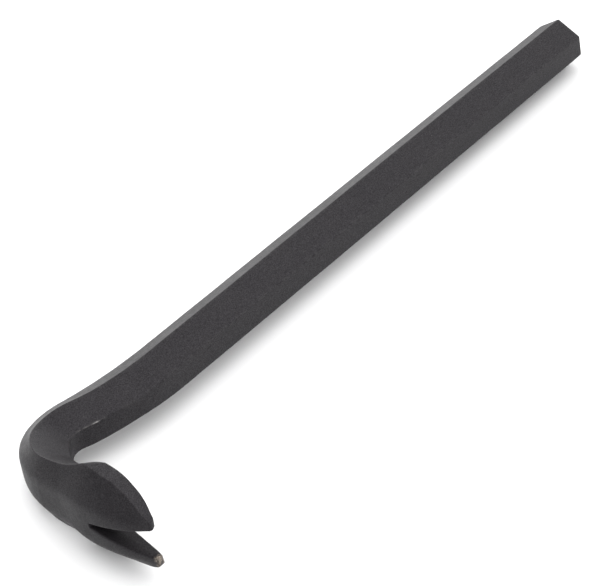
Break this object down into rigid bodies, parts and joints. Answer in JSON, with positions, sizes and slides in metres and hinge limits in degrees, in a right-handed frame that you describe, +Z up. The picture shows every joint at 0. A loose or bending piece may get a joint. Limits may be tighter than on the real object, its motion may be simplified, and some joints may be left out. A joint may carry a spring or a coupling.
{
  "type": "pry bar",
  "caption": "One-piece forged steel bar: hexagonal shank with a plain struck end, hooked at the other end into a fanned claw with a V-shaped nail slot.",
  "frame": {"origin": "centre of the bar's bounding box at its base, on the surface the bar lies on", "axes": "+X along the shank to its plain struck end, +Y towards the outer side of the hook (the heel), +Z up, with the bar lying on its side"},
  "size_m": [0.3118, 0.0766, 0.036],
  "materials": {
    "dark_forged_steel": "satin charcoal over forged steel, bare on the prong tips and worn edges"
  },
  "bodies": {
    "root": {"forged_bar": "dark_forged_steel"}
  },
  "joints": []
}
